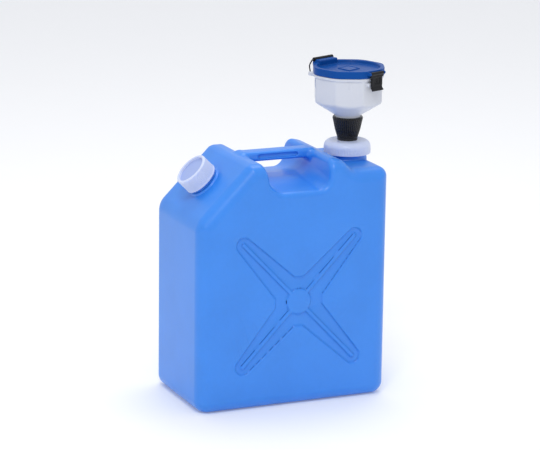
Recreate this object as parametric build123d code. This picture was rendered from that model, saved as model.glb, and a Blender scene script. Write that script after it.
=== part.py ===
from build123d import *
import math
import os

# ---------------------------------------------------------------- driving dimensions (mm)
# Frame: origin on the ground under the middle of the can, +X along its width towards the
# filler neck, -Y out of its front face, +Z up.

wall = 2.5                    # blow-moulded wall

can_width = 350.0
can_depth = 206.0
shoulder_height = 423.0       # flat top of both shoulders
platform_height = 401.5       # lower top round the filler neck
slope_offset = 503.0          # the 45 degree end face lies on z - x = slope_offset
ramp_top_x = 94.0
ramp_foot_x = 105.0
ramp_foot_height = 412.0
platform_start_x = 111.0
cap_room_radius = 42.5        # hollow in the ramp round the filler cap, and how far it flares
cap_room_flare = 6.0
cap_room_height = 30.0
outline_radius = 20.0         # long edges of the front and back faces
base_corner_radius = 18.0
slope_radius = 10.0
end_corner_radius = 19.0
shoulder_radius = 6.0
ramp_radius = 10.0

trough_left_x = -45.0         # finger trough under the handle
trough_left_top_x = -58.0
trough_right_x = 62.0
trough_right_top_x = 65.5
trough_floor_height = 382.0
trough_floor_drop = 10.0      # fall of the trough's floor from the handle to the can's face
trough_corner_radius = 20.0
trough_top_height = 440.0

handle_half_depth = 15.0
handle_bottom = 409.5
handle_top = 426.5
handle_end_x = 76.0
handle_edge_radius = 5.0
handle_groove_left = -33.5
handle_groove_right = 40.5
handle_groove_height = 418.0
handle_groove_width = 7.0
handle_groove_depth = 5.0

cross_x = 7.0                 # pressed cross on both broad faces
cross_z = 183.0
cross_depth = 2.0
cross_tip_x = 101.5
cross_tip_z = 106.0
cross_tip_radius = 13.5
cross_notch = 43.0            # distance of the four flats from the middle
cross_notch_half = 8.0
cross_rib_width = 7.5
cross_rib_tip = 0.98          # rib length as a share of the arm
cross_disc_radius = 22.5

filler_x = 140.0              # upright neck
filler_ring_radius = 34.0
filler_ring_top = 403.5
filler_skirt_bottom = 382.5     # the neck's wall is carried down the can's rounded end
filler_bore_bottom = 388.0
filler_neck_radius = 33.5
filler_bead_radius = 35.0
filler_bead_bottom = 412.0
filler_bead_top = 415.0
filler_neck_top = 426.5
filler_bore_radius = 30.0

pour_base = (-125.0, 0.0, 378.0)   # where the sloping neck's axis leaves the slope
pour_ring_radius = 29.5
pour_ring_height = 3.5
pour_neck_radius = 24.5
pour_bead_radius = 26.5
pour_bead_bottom = 12.0
pour_bead_height = 2.5
pour_neck_height = 27.5
pour_bore_radius = 21.5

pour_cap_radius = 30.5
pour_cap_bottom = 9.3
pour_cap_top = 36.8
pour_cap_bore = 27.3
pour_cap_plate_low = 29.5
pour_cap_plate_high = 32.5
pour_cap_recess_radius = 25.5
gasket_thickness = 2.0

filler_cap_radius = 40.5
filler_cap_bottom = 410.5
filler_cap_top = 433.0
filler_cap_bore = 36.4
filler_cap_plate_low = 428.5
filler_cap_rounding = 9.0

spigot_tail_radius = 13.0     # funnel adapter through the filler cap
spigot_tail_bottom = 414.0
spigot_flange_radius = 17.5
spigot_flange_top = 436.5
spigot_post_radius = 14.0
spigot_post_top = 452.0
spigot_bore_radius = 10.0
spigot_hole_clearance = 0.2
nut_across_flats = 34.0
nut_height = 6.5
washer_radius = 20.0
washer_thickness = 1.5

collar_bottom = 437.0
collar_top = 474.0
collar_post_bore = 14.4
collar_cup_floor = 455.0
collar_heights = (437.0, 443.0, 451.0, 459.0, 467.0, 471.0, 474.0)
collar_radii = (17.6, 19.4, 21.9, 23.6, 25.0, 26.5, 26.0)
collar_gasket_radius = 13.6

bowl_apothem = 57.0           # eight-sided funnel bowl
bowl_turn = -68.0             # direction of the facet with the latch, degrees from +X
bowl_wall = 2.5
bowl_prism_bottom = 502.0
bowl_rim = 549.0
bowl_flange_bottom = 544.5
bowl_flange_radius = 61.0
cone_bottom = 477.0
cone_bottom_radius = 23.0
outlet_radius = 22.0
outlet_bottom = 460.0
outlet_floor = 3.0

stem_radius = 8.5
stem_bore_radius = 6.6
stem_bottom = 410.0
stem_flange_radius = 21.6
o_ring_outer_radius = 9.7
o_ring_bottom = 441.0
o_ring_height = 2.4

strainer_radius = 52.0
strainer_bottom = 503.5
strainer_thickness = 1.6
strainer_hole_radius = 2.2
strainer_hole_pitch = 9.0
strainer_hole_limit = 44.0
strainer_knob_radius = 5.0
strainer_knob_height = 12.0

lid_apothem = 61.0
lid_corner_radius = 63.6
lid_bottom = 549.3
lid_top = 562.0
lid_ring_inner = 53.5
lid_dish_floor = 556.5
lid_plate_bottom = 553.8
lid_groove_radius = 57.8
lid_groove_top = 551.2
lid_boss_width = 32.0
lid_boss_length = 42.0
lid_boss_height = 0.8

hinge_reach = 61.0            # hinge axis: distance from the funnel axis, and height
hinge_height = 567.0
hinge_block_half = 22.0
hinge_block_inner = 47.0
hinge_block_outer = 65.5
hinge_block_bottom = 556.0
hinge_block_top = 567.0
sleeve_radius = 3.3
sleeve_bore = 1.2
sleeve_half = 23.0
bail_radius = 1.15
bail_half = 26.5
bail_bend_radius = 2.5
bail_elbow_reach = 68.0
bail_elbow_height = 556.0
bail_elbow_radius = 8.0
bail_foot_reach = 64.0
bail_foot_height = 539.0
bail_lug_half = 3.5
bail_lug_bottom = 539.0
bail_lug_reach = 67.5

clip_pivot_reach = 65.4       # latch clip on the opposite facet
clip_pivot_height = 557.5
clip_knuckle_radius = 2.9
clip_half_width = 15.5
clip_body_half = 13.0
clip_lip_half = 13.6
clip_inner = 63.0
clip_outer = 66.0
clip_bottom = 527.5
clip_lip_reach = 70.0
clip_pocket_half = 5.5
clip_pocket_depth = 1.4
latch_pin_radius = 1.2
latch_pin_clearance = 0.05
ear_gap = 0.4
ear_width = 3.0
clip_play = 0.4
clip_hook = 1.0
keeper_half = 16.0
keeper_reach = 61.5
keeper_bottom = 535.0
keeper_top = 541.0

label_turn = 157.0
label_width = 31.0
label_bottom = 507.0
label_top = 543.0
label_thickness = 0.3

overshoot = 10.0              # how far cutters run past the solid they cut


# ---------------------------------------------------------------- shared helpers
def cylinder(radius, low, high, x=0.0, y=0.0):
    """Upright cylinder from low to high at (x, y)."""
    return Pos(x, y, (low + high) / 2) * Cylinder(radius, high - low)


def tube(outer, inner, low, high, x=0.0, y=0.0):
    """Upright tube from low to high at (x, y)."""
    return cylinder(outer, low, high, x, y) - cylinder(inner, low - 1, high + 1, x, y)


def block(x_low, x_high, y_low, y_high, z_low, z_high):
    """Box between two corners."""
    middle = Pos((x_low + x_high) / 2, (y_low + y_high) / 2, (z_low + z_high) / 2)
    return middle * Box(x_high - x_low, y_high - y_low, z_high - z_low)


def octagon(apothem, low, high):
    """Eight-sided prism on the funnel axis, its facets facing the latch and the hinge."""
    corner = apothem / math.cos(math.radians(22.5))
    face = RegularPolygon(corner, 8, rotation=22.5)
    return extrude(Plane.XY.offset(low) * face, amount=high - low)


def on_facet(shape, turn):
    """Turn a shape made towards +X round the funnel axis and move it over the filler neck."""
    return Pos(filler_x, 0, 0) * Rot(0, 0, turn) * shape


def revolved(points):
    """Solid of revolution about Z from (radius, height) points."""
    face = make_face(Plane.XZ * Polyline(*points, close=True))
    return revolve(face, axis=Axis.Z)


pour_plane = Plane(origin=pour_base, x_dir=(0, 1, 0), z_dir=(-1, 0, 1))


# ---------------------------------------------------------------- can body
def can_form(inset):
    """Closed outer form of the can, moved inwards by inset, with its trough left filled."""
    half = can_width / 2
    slope_foot = slope_offset - half
    slope_head = shoulder_height - slope_offset
    outline = Polyline(
        (-half, 0), (half, 0), (half, platform_height),
        (platform_start_x, platform_height), (ramp_foot_x, ramp_foot_height),
        (ramp_top_x, shoulder_height), (slope_head, shoulder_height), (-half, slope_foot),
        close=True,
    )
    face = make_face(Plane.XZ * outline)
    if inset > 0:
        face = offset(face, -inset, kind=Kind.INTERSECTION)
    form = extrude(face, amount=can_depth / 2 - inset, both=True)
    cross_edges = form.edges().filter_by(Axis.Y)
    low = cross_edges.filter_by(lambda e: e.center().Z < slope_foot / 2)
    form = fillet(low, base_corner_radius - inset)
    form = fillet(edge_near(form, -half, slope_foot), slope_radius)
    form = fillet(edge_near(form, half, platform_height), end_corner_radius - inset)
    form = fillet(edge_near(form, slope_head, shoulder_height), shoulder_radius)
    form = fillet(edge_near(form, ramp_top_x, shoulder_height), ramp_radius)
    rim = [e for e in form.edges() if abs(abs(e.center().Y) - can_depth / 2 + inset) < 0.01]
    return fillet(rim, outline_radius - inset)


def edge_near(form, x, z):
    """The cross edge of the form closest to (x, z)."""
    edges = form.edges().filter_by(Axis.Y)
    return edges.sort_by(lambda e: math.hypot(e.center().X - x, e.center().Z - z))[0]


def trough(grow):
    """Cutter for the finger trough: a rounded channel whose floor falls towards both faces."""
    floor = trough_floor_height - grow
    outline = Polyline(
        (trough_left_x - grow, floor), (trough_right_x + grow, floor),
        (trough_right_top_x + grow, trough_top_height),
        (trough_left_top_x - grow, trough_top_height), close=True,
    )
    face = make_face(Plane.XZ * outline)
    low_corners = face.vertices().sort_by(Axis.Z)[:2]
    face = fillet(low_corners, trough_corner_radius + grow)
    middle = extrude(face, amount=handle_half_depth, both=True)
    reach = can_depth / 2 + overshoot
    fall = trough_floor_drop * (reach - handle_half_depth) / (can_depth / 2 - handle_half_depth)
    channel = middle
    for side in (-1, 1):
        start = Pos(0, side * handle_half_depth, 0) * face
        run = (0, side * (reach - handle_half_depth), -fall)
        length = math.hypot(run[1], run[2])
        channel += extrude(start, amount=length, dir=run)
    return channel


def cap_room(grow):
    """Flared cutter that gives the filler cap room beside the ramp."""
    low = platform_height - grow
    cone = Cone(cap_room_radius + grow, cap_room_radius + grow + cap_room_flare, cap_room_height)
    return Pos(filler_x, 0, low + cap_room_height / 2) * cone


def handle_bar():
    """The moulded carrying bar across the trough, with a pressed groove on each side."""
    bar = block(-handle_end_x, handle_end_x, -handle_half_depth, handle_half_depth,
                handle_bottom, handle_top)
    bar = fillet(bar.edges().filter_by(Axis.X), handle_edge_radius)
    length = handle_groove_right - handle_groove_left
    middle = (handle_groove_left + handle_groove_right) / 2
    slot = Plane.XZ * Pos(middle, handle_groove_height) * SlotOverall(length, handle_groove_width)
    for side in (-1, 1):
        start = Pos(0, side * (handle_half_depth - handle_groove_depth), 0) * slot
        bar -= extrude(start, amount=overshoot, dir=(0, side, 0))
    return bar


def cross_sketch(grow):
    """Flat outline of the pressed cross: four tapered arms with round tips, joined by flats."""
    tips = [Pos(sx * cross_tip_x, sz * cross_tip_z) * Circle(cross_tip_radius + grow)
            for sx in (-1, 1) for sz in (-1, 1)]
    flat = cross_notch + grow
    half = cross_notch_half
    core_points = [(-half, flat), (half, flat), (flat, half), (flat, -half),
                   (half, -flat), (-half, -flat), (-flat, -half), (-flat, half)]
    sketch = make_face(Polyline(*core_points, close=True))
    for sx in (-1, 1):
        for sz in (-1, 1):
            sketch += cross_arm(sx, sz, grow)
    for tip in tips:
        sketch += tip
    return sketch


def cross_arm(sx, sz, grow):
    """One arm, from the flats on both sides of it to the two tangent points at its tip."""
    length = math.hypot(cross_tip_x, cross_tip_z)
    along = (sx * cross_tip_x / length, sz * cross_tip_z / length)
    across = (-along[1], along[0])
    flat = cross_notch + grow
    side_a = (sx * flat, sz * cross_notch_half)
    side_b = (sx * cross_notch_half, sz * flat)
    if side_a[0] * across[0] + side_a[1] * across[1] < 0:
        side_a, side_b = side_b, side_a
    reach = cross_tip_radius + grow
    tip = (sx * cross_tip_x, sz * cross_tip_z)
    tip_a = (tip[0] + reach * across[0], tip[1] + reach * across[1])
    tip_b = (tip[0] - reach * across[0], tip[1] - reach * across[1])
    return make_face(Polyline((0, 0), side_a, tip_a, tip_b, side_b, close=True))


def cross_ribs():
    """Flat outline of what stays at face level: a rib along each diagonal and a round boss."""
    length = 2 * cross_rib_tip * math.hypot(cross_tip_x, cross_tip_z)
    angle = math.degrees(math.atan2(cross_tip_z, cross_tip_x))
    sketch = Sketch() + Circle(cross_disc_radius)
    for turn in (angle, -angle):
        sketch += Rot(0, 0, turn) * SlotOverall(length, cross_rib_width)
    return sketch


def face_relief(sketch, from_y, side, depth):
    """Extrude a cross sketch into the can from one broad face."""
    upright = Plane(origin=(cross_x, side * from_y, cross_z), x_dir=(1, 0, 0), z_dir=(0, -1, 0))
    return extrude(upright * sketch, amount=depth, dir=(0, -side, 0))


def filler_neck():
    """Upright neck with a base ring and a bead, open down into the can."""
    neck = cylinder(filler_ring_radius, platform_height - wall, filler_ring_top, filler_x)
    neck += cylinder(filler_neck_radius, filler_skirt_bottom, filler_neck_top, filler_x)
    neck += cylinder(filler_bead_radius, filler_bead_bottom, filler_bead_top, filler_x)
    return neck


def pour_neck():
    """Sloping neck, square to the 45 degree end face."""
    neck = cylinder(pour_ring_radius, -wall, pour_ring_height)
    neck += cylinder(pour_neck_radius, pour_ring_height, pour_neck_height)
    neck += cylinder(pour_bead_radius, pour_bead_bottom, pour_bead_bottom + pour_bead_height)
    return pour_plane.location * neck


def make_can_body():
    """Hollow can with its trough, handle, crosses and necks."""
    outer = can_form(0) - trough(0) - cap_room(0)
    cavity = can_form(wall) - trough(wall) - cap_room(wall)
    pressed = cross_sketch(0) - cross_ribs()
    behind = cross_sketch(wall)
    for side in (-1, 1):
        outer -= face_relief(pressed, can_depth / 2 + 1, side, cross_depth + 1)
        cavity -= face_relief(behind, can_depth / 2, side, wall + cross_depth)
    body = outer + handle_bar() + filler_neck() + pour_neck() - cavity
    body -= cylinder(filler_bore_radius, filler_bore_bottom, filler_neck_top + overshoot, filler_x)
    pour_bore = cylinder(pour_bore_radius, -2 * wall - 3, pour_neck_height + overshoot)
    return body - pour_plane.location * pour_bore


# ---------------------------------------------------------------- pour cap
def make_pour_cap():
    """Screw cap with a thick rim standing round a recessed top disc."""
    height = pour_cap_top - pour_cap_bottom
    cap = cylinder(pour_cap_radius, pour_cap_bottom, pour_cap_top)
    top_edge = cap.edges().filter_by(GeomType.CIRCLE).sort_by(Axis.Z)[-1]
    cap = fillet(top_edge, height / 10)
    cap -= cylinder(pour_cap_recess_radius, pour_cap_plate_high, pour_cap_top + 1)
    cap -= cylinder(pour_cap_bore, pour_cap_bottom - 1, pour_cap_plate_low)
    return pour_plane.location * cap


def make_pour_cap_gasket():
    """Flat ring between the pour cap's plate and the neck's lip."""
    low = pour_cap_plate_low - gasket_thickness
    ring = tube(pour_bead_radius, pour_bore_radius, low, pour_cap_plate_low)
    return pour_plane.location * ring


# ---------------------------------------------------------------- filler cap and funnel adapter
def make_filler_cap():
    """Screw cap with a deep rounded shoulder and a hole for the adapter's tail."""
    cap = cylinder(filler_cap_radius, filler_cap_bottom, filler_cap_top)
    top_edge = cap.edges().filter_by(GeomType.CIRCLE).sort_by(Axis.Z)[-1]
    cap = fillet(top_edge, filler_cap_rounding)
    cap -= cylinder(filler_cap_bore, filler_cap_bottom - 1, filler_cap_plate_low)
    cap -= cylinder(spigot_tail_radius + spigot_hole_clearance, filler_cap_plate_low - 1,
                    filler_cap_top + 1)
    return Pos(filler_x, 0, 0) * cap


def make_filler_cap_gasket():
    """Flat ring between the filler cap's plate and the neck's lip."""
    low = filler_cap_plate_low - gasket_thickness
    return tube(filler_bead_radius, filler_bore_radius, low, filler_cap_plate_low, filler_x)


def make_adapter_spigot():
    """Flanged post: tail down through the cap, post up into the collar."""
    spigot = cylinder(spigot_tail_radius, spigot_tail_bottom, filler_cap_top)
    spigot += cylinder(spigot_flange_radius, filler_cap_top, spigot_flange_top)
    spigot += cylinder(spigot_post_radius, spigot_flange_top, spigot_post_top)
    spigot -= cylinder(spigot_bore_radius, spigot_tail_bottom - 1, spigot_post_top + 1)
    return Pos(filler_x, 0, 0) * spigot


def make_lock_nut_washer():
    """Washer under the cap's plate."""
    top = filler_cap_plate_low
    return tube(washer_radius, spigot_tail_radius + spigot_hole_clearance,
                top - washer_thickness, top, filler_x)


def make_adapter_lock_nut():
    """Hexagon nut that pulls the spigot's flange down on the cap."""
    top = filler_cap_plate_low - washer_thickness
    corner = nut_across_flats / math.sqrt(3)
    face = RegularPolygon(corner, 6)
    nut = extrude(Plane.XY.offset(top - nut_height) * face, amount=nut_height)
    nut -= cylinder(spigot_tail_radius, top - nut_height - 1, top + 1)
    return Pos(filler_x, 0, 0) * nut


# ---------------------------------------------------------------- funnel collar
def make_funnel_collar():
    """Cup-shaped collar: bored for the post below, open for the funnel's outlet above."""
    rings = list(zip(collar_radii, collar_heights))
    outer = revolved([(0, collar_bottom)] + rings + [(0, collar_top)])
    cup = cylinder(outlet_radius, collar_cup_floor + outlet_floor, collar_top + 1)
    post_bore = cylinder(collar_post_bore, collar_bottom - 1, collar_cup_floor - 1)
    through = cylinder(stem_radius + spigot_hole_clearance, collar_bottom, collar_top)
    collar = outer - cup - post_bore - through
    return Pos(filler_x, 0, 0) * collar


def make_collar_gasket():
    """Ring on top of the spigot's post."""
    return tube(collar_gasket_radius, stem_radius + 0.3, spigot_post_top,
                collar_cup_floor - 1, filler_x)


# ---------------------------------------------------------------- funnel
def bowl_form(apothem, cone_radius, low, prism_low, high):
    """Eight-sided prism whose lower end is turned down to a cone."""
    corner = apothem / math.cos(math.radians(22.5))
    envelope = revolved([(0, low), (cone_radius, low), (corner + 1, prism_low), (corner + 1, high),
                         (0, high)])
    return octagon(apothem, low, high) & envelope


def make_funnel_bowl():
    """Funnel with rim flange, outlet, latch keeper and two lugs for the bail."""
    bowl = bowl_form(bowl_apothem, cone_bottom_radius, cone_bottom, bowl_prism_bottom, bowl_rim)
    bowl += cylinder(bowl_flange_radius, bowl_flange_bottom, bowl_rim)
    bowl += cylinder(outlet_radius, outlet_bottom, cone_bottom + 1)
    bowl += block(bowl_apothem - 1, keeper_reach, -keeper_half, keeper_half,
                  keeper_bottom, keeper_top)
    for side in (-1, 1):
        bowl += block(-bail_lug_reach, 2 - bowl_apothem, side * bail_half - bail_lug_half,
                      side * bail_half + bail_lug_half, bail_lug_bottom, bowl_flange_bottom + 1)
    inner = bowl_apothem - bowl_wall
    bowl -= bowl_form(inner, stem_radius + 9, cone_bottom + 1, bowl_prism_bottom + 1, bowl_rim + 1)
    bowl -= cylinder(outlet_radius - bowl_wall - 1, outlet_bottom - 1, cone_bottom + 2)
    for side in (-1, 1):
        bowl -= bail_wire(side, 0)
    return on_facet(bowl, bowl_turn)


def make_funnel_stem():
    """Drop tube hung by its flange in the funnel's outlet."""
    top = outlet_bottom
    stem = cylinder(stem_flange_radius, top - outlet_floor + 1, top)
    stem += cylinder(stem_radius, stem_bottom, top)
    stem -= cylinder(stem_bore_radius, stem_bottom - 1, top + 1)
    return Pos(filler_x, 0, 0) * stem


def make_stem_o_ring():
    """Sealing ring between the stem and the spigot's bore."""
    return tube(o_ring_outer_radius, stem_radius, o_ring_bottom, o_ring_bottom + o_ring_height,
                filler_x)


def make_strainer():
    """Perforated plate with a lifting knob, resting on the cone."""
    top = strainer_bottom + strainer_thickness
    plate = cylinder(strainer_radius, strainer_bottom, top)
    spots = []
    rows = int(strainer_hole_limit // strainer_hole_pitch) + 1
    for row in range(-rows, rows + 1):
        for column in range(-rows, rows + 1):
            x = strainer_hole_pitch * (column + row / 2)
            y = strainer_hole_pitch * row * math.sqrt(3) / 2
            if strainer_hole_pitch / 2 < math.hypot(x, y) < strainer_hole_limit:
                spots.append((x, y))
    holes = [cylinder(strainer_hole_radius, strainer_bottom - 1, top + 1, x, y) for x, y in spots]
    plate -= holes
    plate += cylinder(strainer_knob_radius, top, top + strainer_knob_height)
    return on_facet(plate, bowl_turn)


def make_funnel_label():
    """Thin blank label on one facet."""
    label = block(bowl_apothem, bowl_apothem + label_thickness, -label_width / 2,
                  label_width / 2, label_bottom, label_top)
    return on_facet(label, label_turn)


# ---------------------------------------------------------------- lid and its hinge
def make_lid():
    """Eight-sided lid: raised ring, dished middle, hinge block and two latch ears."""
    lid = octagon(lid_apothem, lid_bottom, lid_top) & cylinder(lid_corner_radius, lid_bottom, lid_top)
    lid -= cylinder(lid_ring_inner, lid_dish_floor, lid_top + 1)
    lid -= octagon(bowl_apothem - bowl_wall - 1, lid_bottom - 1, lid_plate_bottom)
    lid -= octagon(lid_groove_radius, lid_bottom - 1, lid_groove_top)
    boss_face = make_face(Polyline(
        (lid_boss_width / 2, 0), (0, lid_boss_length / 2),
        (-lid_boss_width / 2, 0), (0, -lid_boss_length / 2), close=True))
    lid += extrude(Plane.XY.offset(lid_dish_floor) * Rot(0, 0, 45) * boss_face,
                   amount=lid_boss_height)
    lid += block(-hinge_block_outer, -hinge_block_inner, -hinge_block_half, hinge_block_half,
                 hinge_block_bottom, hinge_block_top)
    lid -= hinge_cylinder(sleeve_radius, sleeve_half + 1)
    for side in (-1, 1):
        near = side * (clip_half_width + ear_gap)
        far = side * (clip_half_width + ear_gap + ear_width)
        low, high = min(near, far), max(near, far)
        lid += block(lid_apothem - 1, clip_pivot_reach, low, high,
                     clip_pivot_height - clip_knuckle_radius,
                     clip_pivot_height + clip_knuckle_radius)
        lid += clip_cylinder(clip_knuckle_radius, low, high)
    lid -= clip_cylinder(latch_pin_radius, -clip_half_width - ear_width - 1,
                         clip_half_width + ear_width + 1)
    return on_facet(lid, bowl_turn)


def make_lid_gasket():
    """Eight-sided seal in the lid's groove, over the bowl's rim."""
    top = lid_groove_top
    ring = octagon(lid_groove_radius - 0.3, lid_bottom, top)
    ring -= octagon(bowl_apothem - bowl_wall - 1, lid_bottom - 1, top + 1)
    return on_facet(ring, bowl_turn)


def hinge_cylinder(radius, half):
    """Cylinder along the lid's hinge axis, in the funnel's facet frame."""
    return Pos(-hinge_reach, 0, hinge_height) * Rot(90, 0, 0) * Cylinder(radius, 2 * half)


def clip_cylinder(radius, low, high):
    """Cylinder along the latch pivot, from low to high sideways."""
    middle = Pos(clip_pivot_reach, (low + high) / 2, clip_pivot_height)
    return middle * Rot(90, 0, 0) * Cylinder(radius, high - low)


def make_hinge_sleeve():
    """Black sleeve that turns on the bail."""
    sleeve = hinge_cylinder(sleeve_radius, sleeve_half) - hinge_cylinder(sleeve_bore, sleeve_half + 1)
    return on_facet(sleeve, bowl_turn)


def bail_wire(side, grow):
    """Half of the bail: cross bar from the middle, then a leg bent out and down to its foot."""
    end = side * bail_half
    path = FilletPolyline(
        (-hinge_reach, 0, hinge_height), (-hinge_reach, end, hinge_height),
        (-bail_elbow_reach, end, bail_elbow_height), (-bail_foot_reach, end, bail_foot_height),
        radius=(bail_bend_radius, bail_elbow_radius),
    )
    section = Plane(origin=path @ 0, z_dir=path % 0) * Circle(bail_radius + grow)
    return sweep(section, path=path)


def make_hinge_bail():
    """Wire bail: both halves joined in the middle of the cross bar."""
    return on_facet(bail_wire(1, 0) + bail_wire(-1, 0), bowl_turn)


# ---------------------------------------------------------------- latch
def make_latch_clip():
    """Clip with a wide knuckle, a pocketed plate, a flared finger lip and a hook rib."""
    top = clip_pivot_height - clip_knuckle_radius - clip_play
    side_view = make_face(Plane.XZ * Polyline(
        (clip_inner, top), (clip_outer, top), (clip_outer + 0.4, keeper_top),
        (clip_outer, keeper_bottom), (clip_lip_reach, clip_bottom),
        (clip_lip_reach - 2.4, clip_bottom - 0.6), (clip_inner, keeper_bottom - 4.5),
        (clip_inner - clip_hook, keeper_bottom - 1.5), (clip_inner, keeper_bottom - 0.5),
        close=True))
    clip = extrude(side_view, amount=clip_body_half, both=True)
    lip_zone = block(clip_inner - 2, clip_lip_reach + 1, -clip_lip_half, clip_lip_half,
                     clip_bottom - 2, clip_bottom + 4)
    clip += extrude(side_view, amount=clip_lip_half, both=True) & lip_zone
    clip += clip_cylinder(clip_knuckle_radius, -clip_half_width, clip_half_width)
    clip += block(clip_inner, clip_outer, -clip_half_width, clip_half_width,
                  top - 1.5, clip_pivot_height)
    clip -= block(clip_outer - clip_pocket_depth, clip_outer + 2, -clip_pocket_half,
                  clip_pocket_half, keeper_top, top - 3)
    clip -= clip_cylinder(latch_pin_radius + latch_pin_clearance, -clip_half_width - 1,
                          clip_half_width + 1)
    return on_facet(clip, bowl_turn)


def make_latch_pin():
    """Pin held in the lid's ears, on which the clip turns."""
    half = clip_half_width + ear_gap + ear_width - 0.2
    return on_facet(clip_cylinder(latch_pin_radius, -half, half), bowl_turn)


# ---------------------------------------------------------------- write every node
makers = {
    "can_body": make_can_body,
    "pour_cap": make_pour_cap,
    "pour_cap_gasket": make_pour_cap_gasket,
    "filler_cap": make_filler_cap,
    "filler_cap_gasket": make_filler_cap_gasket,
    "adapter_spigot": make_adapter_spigot,
    "adapter_lock_nut": make_adapter_lock_nut,
    "lock_nut_washer": make_lock_nut_washer,
    "funnel_collar": make_funnel_collar,
    "collar_gasket": make_collar_gasket,
    "funnel_bowl": make_funnel_bowl,
    "funnel_stem": make_funnel_stem,
    "stem_o_ring": make_stem_o_ring,
    "strainer": make_strainer,
    "funnel_label": make_funnel_label,
    "lid": make_lid,
    "lid_gasket": make_lid_gasket,
    "hinge_bail": make_hinge_bail,
    "hinge_sleeve": make_hinge_sleeve,
    "latch_clip": make_latch_clip,
    "latch_pin": make_latch_pin,
}

os.makedirs("parts", exist_ok=True)
for node, make in makers.items():
    export_step(make(), f"parts/{node}.step")
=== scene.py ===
import math

import bmesh
import bpy
import numpy as np
from mathutils import Matrix, Vector


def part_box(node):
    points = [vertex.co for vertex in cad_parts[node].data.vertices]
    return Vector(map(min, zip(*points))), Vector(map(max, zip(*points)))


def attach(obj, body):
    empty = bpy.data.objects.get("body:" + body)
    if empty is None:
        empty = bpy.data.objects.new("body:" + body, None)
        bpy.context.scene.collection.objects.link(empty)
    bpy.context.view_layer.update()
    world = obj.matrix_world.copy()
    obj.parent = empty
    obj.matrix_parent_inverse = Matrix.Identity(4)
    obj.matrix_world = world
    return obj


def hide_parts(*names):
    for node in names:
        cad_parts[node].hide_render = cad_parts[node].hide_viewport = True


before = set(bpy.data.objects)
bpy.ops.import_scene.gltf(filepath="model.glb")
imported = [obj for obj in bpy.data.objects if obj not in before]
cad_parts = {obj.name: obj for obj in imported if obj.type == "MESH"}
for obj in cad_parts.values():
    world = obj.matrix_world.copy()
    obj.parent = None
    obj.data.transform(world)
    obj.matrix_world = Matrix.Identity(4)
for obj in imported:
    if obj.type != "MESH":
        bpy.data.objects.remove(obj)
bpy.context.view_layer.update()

bl_info = {
    "name": "Jerry Can with Lidded Funnel",
    "version": (1, 0, 0),
    "blender": (4, 5, 0),
    "location": "3D View > Sidebar > Jerry Can",
    "description": "Makes the moulded looks of a flat jerry can, its caps and its filling funnel",
    "category": "Object",
}

MM = 0.001
HALF_ROOT = math.sqrt(0.5)

# ---- places taken from the frame (mm)
can_low, can_high = (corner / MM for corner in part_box("can_body"))
spigot_low, spigot_high = (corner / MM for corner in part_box("adapter_spigot"))
bowl_low, bowl_high = (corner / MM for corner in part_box("funnel_bowl"))
lid_low, lid_high = (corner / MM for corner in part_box("lid"))
clip_low, clip_high = (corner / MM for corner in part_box("latch_clip"))

HALF_WIDTH = can_high.x
HALF_DEPTH = can_high.y
FUNNEL_X = (spigot_low.x + spigot_high.x) / 2
FACET_TURN = math.radians(-68.0)          # the facet with the latch, from +X

# ---- sizes of the can (mm)
SHOULDER_TOP = 423.0
PLATFORM_TOP = 401.5
SLOPE_OFFSET = 503.0                      # the sloping end lies on z - x = this
SHOULDER_ROUNDING, SLOPE_ROUNDING = 6.0, 11.0
RAMP_TOP_X, RAMP_FOOT_X, RAMP_FOOT_TOP = 91.0, 101.0, 412.0
CAP_ROOM_RADIUS, CAP_ROOM_FLARE = 42.5, 0.2
END_ROUNDING, FACE_ROUNDING, BASE_ROUNDING = 17.0, 24.0, 21.0
TROUGH_FLOOR, TROUGH_FALL = 382.0, 0.114  # floor beside the handle, and its fall towards the faces
TROUGH_LEFT, TROUGH_RIGHT, TROUGH_ROUNDING = -45.0, 62.0, 20.0
HANDLE_HALF_DEPTH = 15.0
HANDLE_MIDDLE = 418.0
HANDLE_HALF_HEIGHT = 8.5
HANDLE_CENTRE, HANDLE_HALF_LENGTH = 4.0, 66.0
HANDLE_ROUNDING, HANDLE_BLEND = 6.0, 10.0
GROOVE_CENTRE, GROOVE_HALF_LENGTH, GROOVE_RADIUS, GROOVE_DEPTH = 3.5, 33.5, 3.6, 4.5
CROSS_X, CROSS_Z = 7.0, 183.0
CROSS_TIP_X, CROSS_TIP_Z, CROSS_TIP_RADIUS = 101.5, 106.0, 13.5
CROSS_FLAT, CROSS_FLAT_HALF = 43.0, 8.0
CROSS_RIB_HALF, CROSS_BOSS_RADIUS = 3.6, 22.3
CROSS_EDGE, CROSS_RIB_EDGE = 2.2, 2.1     # half widths of the pressed flanks
FILLER_RING_RADIUS, FILLER_NECK_RADIUS, FILLER_BORE_RADIUS = 34.0, 33.5, 30.0
FILLER_RING_LOW, FILLER_RING_TOP = 385.0, 403.5
FILLER_NECK_LOW, FILLER_BORE_LOW = 382.5, 388.0
SPIGOT_RADIUS = 13.0
POUR_RING_RADIUS, POUR_NECK_RADIUS, POUR_BORE_RADIUS = 29.3, 24.5, 21.5
POUR_RING_TOP, POUR_NECK_TOP = 3.3, 27.5
POUR_ROOT, POUR_BORE_LOW = -4.0, -12.0
POUR_BASE = (-125.0, 0.0, 378.0)          # where the sloping neck's axis leaves the slope
NECK_ROUNDING, RING_ROUNDING, RING_BLEND, NECK_BLEND = 1.3, 1.2, 2.0, 1.0


# ---- settings
def colour_property(name, text, default):
    """A colour setting."""
    return bpy.props.FloatVectorProperty(name=name, description=text, default=default,
                                         subtype="COLOR", size=3, min=0.0, max=1.0)


def size_property(name, text, millimetres):
    """A length setting, kept in metres."""
    return bpy.props.FloatProperty(name=name, description=text, default=millimetres * MM,
                                   unit="LENGTH", subtype="DISTANCE", precision=5)


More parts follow.
